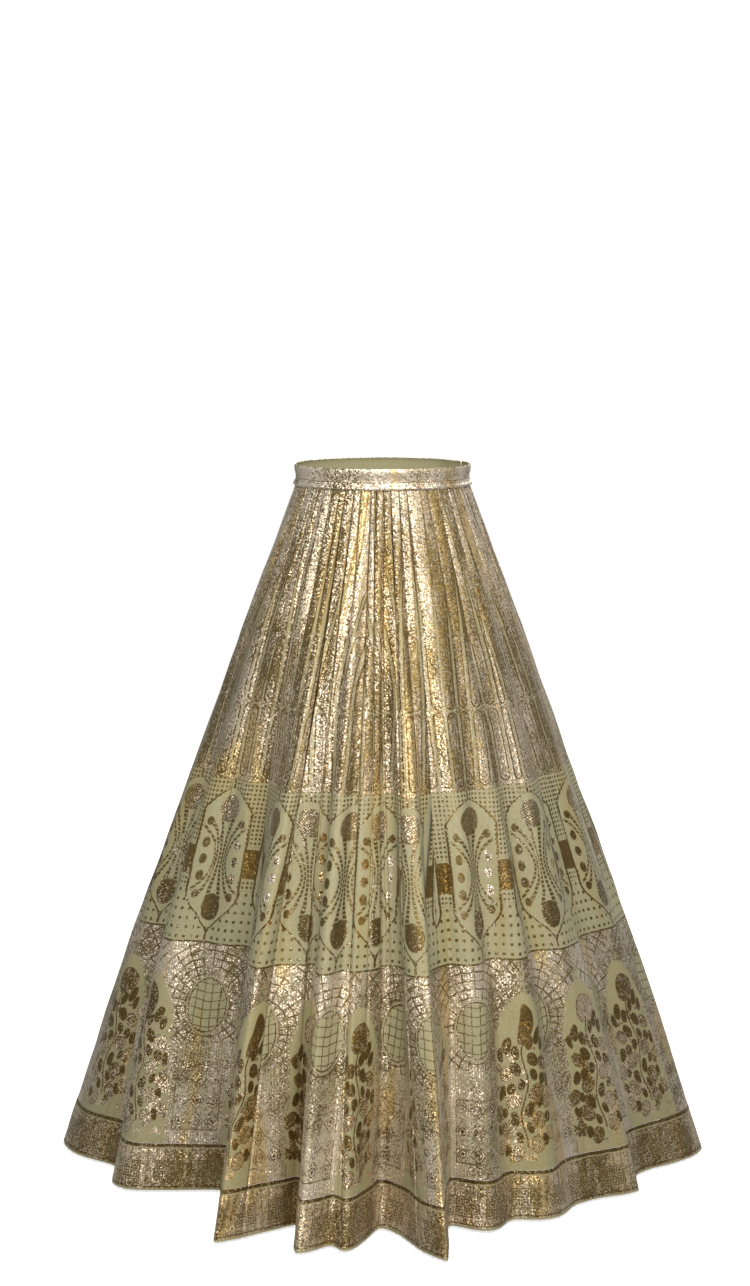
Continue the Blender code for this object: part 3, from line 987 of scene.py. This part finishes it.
def foil_printed_silk(name, print_of, colours, catch):
    """Woven silk with a heat-set foil print. The ground is soft and matt, with slubs. The foil is a thin, crinkled
    metal film: its facets, each tilted its own way, flash where they meet the real light, and a share of them is
    painted pale in the base colour as highlights. Catch is the share of painted pale facets in the gold."""
    material, tree, shader = new_material(name)
    uv, slub = slubbed_weave(tree, 2.0)
    # The noises that the foil needs: coordinates, scale and detail.
    noises = (
        (uv, 55.0, 1.0),
        (uv, 38.0, 2.0),
        (uv.vector("MULTIPLY", (13.0, 4.2, 1.0)), 1.0, 3.0),
        (uv.vector("MULTIPLY", (21.0, 3.4, 1.0)), 1.0, 2.0),
    )
    drift, worn, turned, streaks = (
        add_node(tree, "ShaderNodeTexNoise", {"Vector": at, "Scale": scale, "Detail": detail}, noise_dimensions="2D")
        for at, scale, detail in noises
    )
    # The print wanders by about 1 mm, as hand-set foil does.
    flat = uv.vector("MULTIPLY", (100.0, 100.0, 0.0))
    flat = Field(tree, drift.outputs["Color"]).vector("MULTIPLY_ADD", (2 * WANDER, 2 * WANDER, 0.0), flat)
    flat = flat.vector("SUBTRACT", (WANDER, WANDER, 0.0))
    split = add_node(tree, "ShaderNodeSeparateXYZ", {0: flat})
    gold, solid, warm = print_of(Field(tree, split.outputs["X"]), Field(tree, split.outputs["Y"]))
    foil = gold.most(solid)

    # Facets of 1.7 mm: the real crinkle is under 1 mm, too fine to show.
    facets = add_node(
        tree, "ShaderNodeTexVoronoi", {"Vector": uv, "Scale": 1 / FACET, "Randomness": 1.0}, voronoi_dimensions="2D"
    )
    chance = Field(tree, add_node(tree, "ShaderNodeSeparateXYZ", {0: facets.outputs["Color"]}).outputs["X"])
    # The film is more crinkled in some places than in others.
    crinkle = Field(tree, worn.outputs["Fac"]).ramp(0.3, 0.65)
    # Painted light and shade: broad patches, longer down the cloth, are painted lighter or darker as if turned to the
    # light or away from it.
    painted_light = Field(tree, turned.outputs["Fac"]).ramp(0.38, 0.62)
    # The pale facets are painted highlights in the base colour: there are more of them where the film is crinkled and
    # in the patches painted lit, and fewer on warm prints.
    lift = chance + crinkle.scaled(0.2, -0.1) + painted_light.scaled(0.6, -0.3) - warm * 0.3
    pale = lift.ramp(1 - catch - 0.12, 1 - catch + 0.12)
    # Long, narrow patches down the pleats, and the warm prints' facets that aren't painted pale, take a warmer tint.
    warm_tint_share = Field(tree, streaks.outputs["Fac"]).ramp(0.57, 0.68).most(pale.scaled(-0.6, 1.0) * warm)
    # Painted shade and highlights: the gold's facets take the painted shade colour, darker towards the solid foil's
    # colour in the patches painted as turned away, and the pale facets take the painted light colour.
    shade = add_node(
        tree, "ShaderNodeMix", {0: painted_light.scaled(0.7, 0.3), 6: (*colours.foil_solid_and_painted_shade, 1), 7: (*colours.foil_painted_shade, 1)},
        data_type="RGBA",
    )
    grains = add_node(
        tree, "ShaderNodeMix", {0: pale, 6: shade.outputs[2], 7: (*colours.foil_painted_light, 1)}, data_type="RGBA"
    )
    # Painted glints: a few facets of the solid foil are painted pale, more of them in the patches painted lit.
    painted_glints = chance.ramp(0.84, 0.91) * painted_light.scaled(0.85, 0.1)
    smooth = add_node(
        tree, "ShaderNodeMix", {0: painted_glints, 6: (*colours.foil_solid_and_painted_shade, 1), 7: (*colours.foil_painted_light, 1)}, data_type="RGBA"
    )
    shaded = [0.8 * part for part in colours.cloth]
    ground = add_node(
        tree, "ShaderNodeMix", {0: slub.ramp(0.7, 0.3), 6: (*colours.cloth, 1), 7: (*shaded, 1)}, data_type="RGBA"
    )
    base = add_node(tree, "ShaderNodeMix", {0: gold, 6: ground.outputs[2], 7: grains.outputs[2]}, data_type="RGBA")
    base = add_node(tree, "ShaderNodeMix", {0: solid, 6: base.outputs[2], 7: smooth.outputs[2]}, data_type="RGBA")
    base = add_node(
        tree, "ShaderNodeMix", {0: warm_tint_share * foil.scaled(0.6, 0.4), 6: base.outputs[2], 7: (*colours.foil_warm_tint, 1)},
        data_type="RGBA", blend_type="MULTIPLY",
    )
    tilt = Field(tree, facets.outputs["Color"]).vector("SUBTRACT", (0.5, 0.5, 0.5))
    amount = (gold * crinkle.scaled(0.5, 0.4)).most(solid * 0.25)
    tilted = add_node(tree, "ShaderNodeVectorMath", {0: tilt, "Scale": amount}, operation="SCALE")
    normal = Field(tree, add_node(tree, "ShaderNodeNewGeometry").outputs["Normal"])
    normal = normal.vector("ADD", tilted.outputs[0]).vector("NORMALIZE")
    bump = add_node(
        tree, "ShaderNodeBump", {"Strength": 0.25, "Distance": 0.3 * MM, "Height": slub, "Normal": normal}
    )
    set_inputs(tree, shader, {
        "Base Color": base.outputs[2], "Metallic": foil * 0.78, "Roughness": foil.scaled(-0.14, 0.6),
        "Normal": bump.outputs[0], "Sheen Weight": 0.1, "Sheen Roughness": 0.4,
    })
    return material


def plain_silk(name, colours):
    """Woven silk, its unprinted reverse: matt and a little darker, with the weave's slubs."""
    material, tree, shader = new_material(name)
    slub = slubbed_weave(tree, 3.0)[1]
    light = [0.8 * part for part in colours.cloth]
    dark = [0.6 * part for part in colours.cloth]
    colour = add_node(
        tree, "ShaderNodeMix", {0: slub, 6: (*light, 1), 7: (*dark, 1)}, data_type="RGBA"
    )
    bump = add_node(tree, "ShaderNodeBump", {"Strength": 0.3, "Distance": 0.3 * MM, "Height": slub})
    set_inputs(tree, shader, {
        "Base Color": colour.outputs[2], "Normal": bump.outputs[0], "Roughness": 0.75, "Sheen Weight": 0.1,
    })
    return material


def row_path(points, rows):
    """Points and edges of open lines along some rows of a grid."""
    columns = points.shape[1]
    edges = [(i * columns + j, i * columns + j + 1) for i in range(len(rows)) for j in range(columns - 1)]
    return points[rows].reshape(-1, 3).tolist(), edges


def follow_path(name, path, tree, *values):
    """A plain mesh of what a node tree repeats along a path. The values are its inputs, in order."""
    points, edges = path
    mesh = bpy.data.meshes.new(name)
    mesh.from_pydata(points, edges, [])
    obj = bpy.data.objects.new(name, mesh)
    bpy.context.scene.collection.objects.link(obj)
    modifier = obj.modifiers.new("repeat", "NODES")
    modifier.node_group = tree
    named = dict(zip((label for label, _ in TREE_INPUTS), values))
    for item in tree.interface.items_tree:
        if item.item_type == "SOCKET" and item.in_out == "INPUT" and item.name in named:
            modifier[item.identifier] = named[item.name]
    apply_modifiers(obj)
    obj.data.materials.clear()
    obj.data.materials.append(named["Material"])
    return obj


# What each repeating tree is given besides its path.
TREE_INPUTS = (
    ("Pitch", "NodeSocketFloat"),
    ("Length", "NodeSocketFloat"),
    ("Thickness", "NodeSocketFloat"),
    ("Seed", "NodeSocketInt"),
    ("Material", "NodeSocketMaterial"),
)


def repeating_tree(name, one_of):
    """A geometry node tree that repeats a small mesh along a path, as real, smooth geometry with its material.
    one_of adds the mesh, its rotation and its scale."""
    tree = bpy.data.node_groups.new(name, "GeometryNodeTree")
    for label, kind in (("Geometry", "NodeSocketGeometry"), *TREE_INPUTS):
        tree.interface.new_socket(label, in_out="INPUT", socket_type=kind)
    tree.interface.new_socket("Geometry", in_out="OUTPUT", socket_type="NodeSocketGeometry")
    given = tree.nodes.new("NodeGroupInput").outputs
    curve = add_node(tree, "GeometryNodeMeshToCurve", {0: given["Geometry"]})
    points = add_node(
        tree, "GeometryNodeCurveToPoints", {"Curve": curve.outputs[0], "Length": given["Pitch"]}, mode="LENGTH"
    )
    one, rotation, size = one_of(tree, given, points.outputs["Rotation"])
    instances = add_node(
        tree, "GeometryNodeInstanceOnPoints",
        {"Points": points.outputs["Points"], "Instance": one.outputs["Mesh"], "Rotation": rotation,
         "Scale": size.outputs[0]},
    )
    real = add_node(tree, "GeometryNodeRealizeInstances", {0: instances.outputs[0]})
    smooth = add_node(tree, "GeometryNodeSetShadeSmooth", {0: real.outputs[0]})
    done = add_node(
        tree, "GeometryNodeSetMaterial", {"Geometry": smooth.outputs[0], "Material": given["Material"]}
    )
    add_node(tree, "NodeGroupOutput", {"Geometry": done.outputs[0]})
    return tree


def stitch(tree, given, along):
    """A machine stitch, laid along the path, of uneven length."""
    thread = add_node(tree, "GeometryNodeMeshUVSphere", {"Segments": 6, "Rings": 5, "Radius": 0.5})
    least, most = STITCH_UNEVEN
    uneven = add_node(tree, "FunctionNodeRandomValue", {2: least, 3: most, "Seed": given["Seed"]}, data_type="FLOAT")
    length = add_node(tree, "ShaderNodeMath", {0: given["Length"], 1: uneven.outputs[1]}, operation="MULTIPLY")
    thick = given["Thickness"]
    return thread, along, add_node(tree, "ShaderNodeCombineXYZ", {0: thick, 1: thick, 2: length.outputs[0]})


def frayed_thread(tree, given, along):
    """A short frayed thread that hangs from the path, at its own slant and of uneven length."""
    end = add_node(tree, "ShaderNodeMath", {0: given["Thickness"], 1: FRAY_END}, operation="MULTIPLY")
    thread = add_node(
        tree, "GeometryNodeMeshCone",
        {"Vertices": 3, "Radius Top": end.outputs[0], "Radius Bottom": given["Thickness"], "Depth": given["Length"]},
    )
    slant = add_node(
        tree, "FunctionNodeRandomValue",
        {0: (math.pi - FRAY_SLANT, -FRAY_SLANT, -math.pi), 1: (math.pi + FRAY_SLANT, FRAY_SLANT, math.pi),
         "Seed": given["Seed"]},
        data_type="FLOAT_VECTOR",
    )
    turn = add_node(tree, "FunctionNodeEulerToRotation", {0: slant.outputs[0]})
    uneven = add_node(
        tree, "FunctionNodeRandomValue", {2: FRAY_SHORTEST, 3: 1.0, "Seed": given["Seed"]}, data_type="FLOAT"
    )
    size = add_node(tree, "ShaderNodeCombineXYZ", {0: 1.0, 1: 1.0, 2: uneven.outputs[1]})
    return thread, turn.outputs[0], size


def metallic_thread(name, colours):
    """Metallised polyester sewing thread, twisted: glossy, with fine turns that break its highlight."""
    material, tree, shader = new_material(name)
    at = add_node(tree, "ShaderNodeTexCoord").outputs["Object"]
    # Turns of 0.8 mm: the real twist is 0.3 mm, too fine to show.
    twist = add_node(
        tree, "ShaderNodeTexWave", {"Vector": at, "Scale": 0.1 / (0.8 * MM), "Distortion": 2.0},
        bands_direction="DIAGONAL",
    )
    dark = [0.55 * part for part in colours.thread]
    colour = add_node(
        tree, "ShaderNodeMix", {0: twist.outputs["Fac"], 6: (*colours.thread, 1), 7: (*dark, 1)}, data_type="RGBA"
    )
    bump = add_node(tree, "ShaderNodeBump", {"Strength": 0.5, "Distance": 0.1 * MM, "Height": twist.outputs["Fac"]})
    set_inputs(tree, shader, {
        "Base Color": colour.outputs[2], "Normal": bump.outputs[0], "Metallic": 0.7, "Roughness": 0.42,
    })
    return material


def dress(obj, node):
    """Ties a finished piece to the body and, where it stands for a node, hides that node's solid."""
    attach(obj, "root")
    if node:
        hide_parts(node)


# The sheets' flat sizes: along the cloth, and down it (m).
BAND_FLAT = (BAND_CUT, BAND_HIGH - BAND_LOW)


class LEHENGA_OT_panels(bpy.types.Operator):
    """Makes the four pleated, foil-printed panels"""

    bl_idname = "lehenga.panels"
    bl_label = "Pleated panels"

    def execute(self, context):
        sizes = context.scene.lehenga_sizes
        colours = context.scene.lehenga_colours
        prints = (stripes_print, columns_print, ogees_print, niches_print)
        materials = [
            foil_printed_silk(f"foil_printed_silk_{band[0]}", print_of, colours, catch)
            for band, print_of, catch in zip(BANDS, prints, BAND_PAINTED_HIGHLIGHTS)
        ]
        materials.append(plain_silk("plain_silk_reverse", colours))
        downs = []
        row_materials = []
        foot = (BORDER_TOP_SHARE - GAP_SHARE) * CLOTH_LENGTH
        for i, (_, top, low, rows) in enumerate(BANDS):
            downs += list(np.linspace(top, min(low, foot), rows, endpoint=False))
            row_materials += [i] * rows
        downs.append(foot)
        points, cloth = pleated_rows(np.array(downs) / CLOTH_LENGTH, 0.0)
        for i, side in enumerate(SIDES):
            piece, coordinates = side_of(points, cloth, i)
            obj = add_shell(f"cloth_{side}", piece, coordinates, row_materials, materials, sizes.cloth_thickness)
            dress(obj, f"panel_{side}")
        return {"FINISHED"}


class LEHENGA_OT_borders(bpy.types.Operator):
    """Makes the hem border, its two rows of stitches and the frayed threads under it"""

    bl_idname = "lehenga.borders"
    bl_label = "Hem border"

    def execute(self, context):
        sizes = context.scene.lehenga_sizes
        colours = context.scene.lehenga_colours
        materials = [
            foil_printed_silk("foil_printed_silk_border", border_print, colours, BORDER_PAINTED_HIGHLIGHTS),
            plain_silk("plain_silk_border_reverse", colours),
        ]
        thread = metallic_thread("metallic_thread_stitches", colours)
        fray = metallic_thread("metallic_thread_frayed", colours)
        drops = np.linspace(BORDER_TOP_SHARE, 1, sizes.border_rows + 1)
        points, cloth = pleated_rows(drops, BORDER_PROUD)
        rows = np.array([BORDER_TOP_SHARE + ROW_UNDER_SEAM / SKIRT_DROP, 1 - ROW_OVER_HEM / SKIRT_DROP])
        sewn, sewn_cloth = pleated_rows(rows, BORDER_ROW_PROUD)
        hem, hem_cloth = pleated_rows(np.array([1.0]), 0.0)
        stitches = repeating_tree("stitches", stitch)
        frayed = repeating_tree("frayed_threads", frayed_thread)
        for i, side in enumerate(SIDES):
            piece, coordinates = side_of(points, cloth, i)
            obj = add_shell(
                f"hem_{side}", piece, coordinates, [0] * sizes.border_rows, materials, sizes.border_thickness
            )
            dress(obj, f"border_{side}")
            sewing = follow_path(
                f"hem_stitches_{side}", row_path(side_of(sewn, sewn_cloth, i)[0], [0, 1]), stitches,
                sizes.stitch_pitch, sizes.stitch_length, HEM_THREAD, i, thread,
            )
            loose = follow_path(
                f"hem_threads_{side}", row_path(side_of(hem, hem_cloth, i)[0], [0]), frayed,
                FRAY_PITCH, sizes.fray_length, FRAY_THICKNESS, FRAY_SEED + i, fray,
            )
            for extra in (sewing, loose):
                dress(extra, None)
        return {"FINISHED"}


class LEHENGA_OT_waistband(bpy.types.Operator):
    """Makes the waistband, its lap at the opening and its row of stitches"""

    bl_idname = "lehenga.waistband"
    bl_label = "Waistband"

    def execute(self, context):
        sizes = context.scene.lehenga_sizes
        colours = context.scene.lehenga_colours
        place_along = np.linspace(0, 1, BAND_COLUMNS)
        turned = place_along * (360 + LAP_ANGLE)
        angle = np.radians(OPENING_ANGLE + LAP_ANGLE / 2 - turned)
        under = ease((turned - (360 - LAP_RAMP)) / LAP_RAMP)
        heights = np.linspace(BAND_HIGH, BAND_LOW, BAND_ROWS)

        def ring(z, more):
            out = smooth_table(BAND_PROFILE, z)[0] * (1 - LAP_FLATTER * under) - LAP_STEP * under + more
            x = (BAND_HALF_WIDTH + out) * np.sin(angle)
            y = -(BAND_HALF_DEPTH + out) * np.cos(angle)
            return np.stack([x, y, np.full_like(x, z)], axis=1)

        points = np.array([ring(z, 0.0) for z in heights])
        coordinates = np.stack(np.meshgrid(place_along * BAND_FLAT[0], BAND_HIGH - heights), axis=-1)
        materials = [
            foil_printed_silk("foil_printed_silk_waist", waist_print, colours, WAIST_PAINTED_HIGHLIGHTS),
            plain_silk("plain_silk_waist_reverse", colours),
        ]
        obj = add_shell("waist_cloth", points, coordinates, [0] * (BAND_ROWS - 1), materials, sizes.band_thickness)
        dress(obj, "waistband")
        thread = metallic_thread("metallic_thread_waist", colours)
        sewing = follow_path(
            "waist_stitches", row_path(np.array([ring(BAND_LOW + ROW_ON_BAND, BAND_ROW_PROUD)]), [0]),
            repeating_tree("stitches", stitch), sizes.stitch_pitch, sizes.stitch_length, WAIST_THREAD,
            WAIST_SEED, thread,
        )
        dress(sewing, None)
        return {"FINISHED"}


def matt_paint(name, hex_colour):
    """Matt emulsion paint, rolled: an even, pale studio floor with the faint texture of the roller. It gives
    some light of its own, so that it stays white."""
    material, tree, shader = new_material(name)
    at = add_node(tree, "ShaderNodeTexCoord").outputs["Object"]
    texture = add_node(tree, "ShaderNodeTexNoise", {"Vector": at, "Scale": 250.0, "Detail": 2.0})
    bump = add_node(tree, "ShaderNodeBump", {"Strength": 0.05, "Distance": 0.5 * MM, "Height": texture.outputs["Fac"]})
    colour = (*linear(hex_colour), 1)
    set_inputs(tree, shader, {
        "Base Color": colour, "Emission Color": colour, "Emission Strength": 0.8, "Roughness": 0.9,
        "Normal": bump.outputs[0],
    })
    return material


def add_light(name, place_at, target, size, power, hex_colour):
    light = bpy.data.lights.new(name, "AREA")
    light.shape = "RECTANGLE"
    light.size, light.size_y = size
    light.energy = power
    light.color = linear(hex_colour)
    obj = bpy.data.objects.new(name, light)
    obj.location = place_at
    obj.rotation_euler = (Vector(target) - Vector(place_at)).to_track_quat("-Z", "Y").to_euler()
    bpy.context.scene.collection.objects.link(obj)


class LEHENGA_OT_stage(bpy.types.Operator):
    """Makes the floor, the lights and the camera"""

    bl_idname = "lehenga.stage"
    bl_label = "Stage"

    def execute(self, context):
        z = HEM_Z - UNDER_HEM
        corners = [(x, y, z) for x, y in ((-FLOOR, -FLOOR), (FLOOR, -FLOOR), (FLOOR, FLOOR), (-FLOOR, FLOOR))]
        mesh = bpy.data.meshes.new("floor")
        mesh.from_pydata(corners, [], [(0, 1, 2, 3)])
        mesh.materials.append(matt_paint("matt_paint_floor", "fbfbfa"))
        floor = bpy.data.objects.new("floor", mesh)
        context.scene.collection.objects.link(floor)
        # The floor shows its shadow and throws no light back up the skirt.
        floor.visible_diffuse = False
        floor.visible_glossy = False

        # The room's light is even and soft. The camera sees a white backdrop in its place.
        world = bpy.data.worlds.new("studio")
        world.use_nodes = True
        tree = world.node_tree
        seen = Field(tree, add_node(tree, "ShaderNodeLightPath").outputs["Is Camera Ray"])
        strength = seen.scaled(BACKDROP - ROOM_LIGHT, ROOM_LIGHT)
        set_inputs(tree, tree.nodes["Background"], {"Strength": strength, "Color": (*linear("fdfdff"), 1)})
        context.scene.world = world
        for light in LIGHTS:
            add_light(*light)

        camera = bpy.data.objects.new("camera", bpy.data.cameras.new("camera"))
        camera.data.lens = LENS
        camera.data.sensor_width = SENSOR
        camera.location = CAMERA_AT
        camera.rotation_euler = (math.radians(CAMERA_TILT), 0, 0)
        context.scene.collection.objects.link(camera)
        context.scene.camera = camera
        context.scene.view_settings.view_transform = "Standard"
        return {"FINISHED"}


class LEHENGA_PT_tools(bpy.types.Panel):
    """Lists the sizes, the colours and the steps that make the cloth"""

    bl_idname = "LEHENGA_PT_tools"
    bl_label = "Lehenga Skirt"
    bl_space_type = "VIEW_3D"
    bl_region_type = "UI"
    bl_category = "Lehenga"

    def draw(self, context):
        for group in (context.scene.lehenga_sizes, context.scene.lehenga_colours):
            box = self.layout.box()
            for name in group.__annotations__:
                box.prop(group, name)
        for operator in OPERATORS:
            self.layout.operator(operator.bl_idname)


OPERATORS = (LEHENGA_OT_panels, LEHENGA_OT_borders, LEHENGA_OT_waistband, LEHENGA_OT_stage)
CLASSES = (LehengaSizes, LehengaColours, *OPERATORS, LEHENGA_PT_tools)


def register():
    for cls in CLASSES:
        bpy.utils.register_class(cls)
    bpy.types.Scene.lehenga_sizes = PointerProperty(type=LehengaSizes)
    bpy.types.Scene.lehenga_colours = PointerProperty(type=LehengaColours)


def unregister():
    del bpy.types.Scene.lehenga_colours
    del bpy.types.Scene.lehenga_sizes
    for cls in reversed(CLASSES):
        bpy.utils.unregister_class(cls)


def main():
    register()
    bpy.ops.lehenga.panels()
    bpy.ops.lehenga.borders()
    bpy.ops.lehenga.waistband()
    bpy.ops.lehenga.stage()


if __name__ == "__main__":
    main()
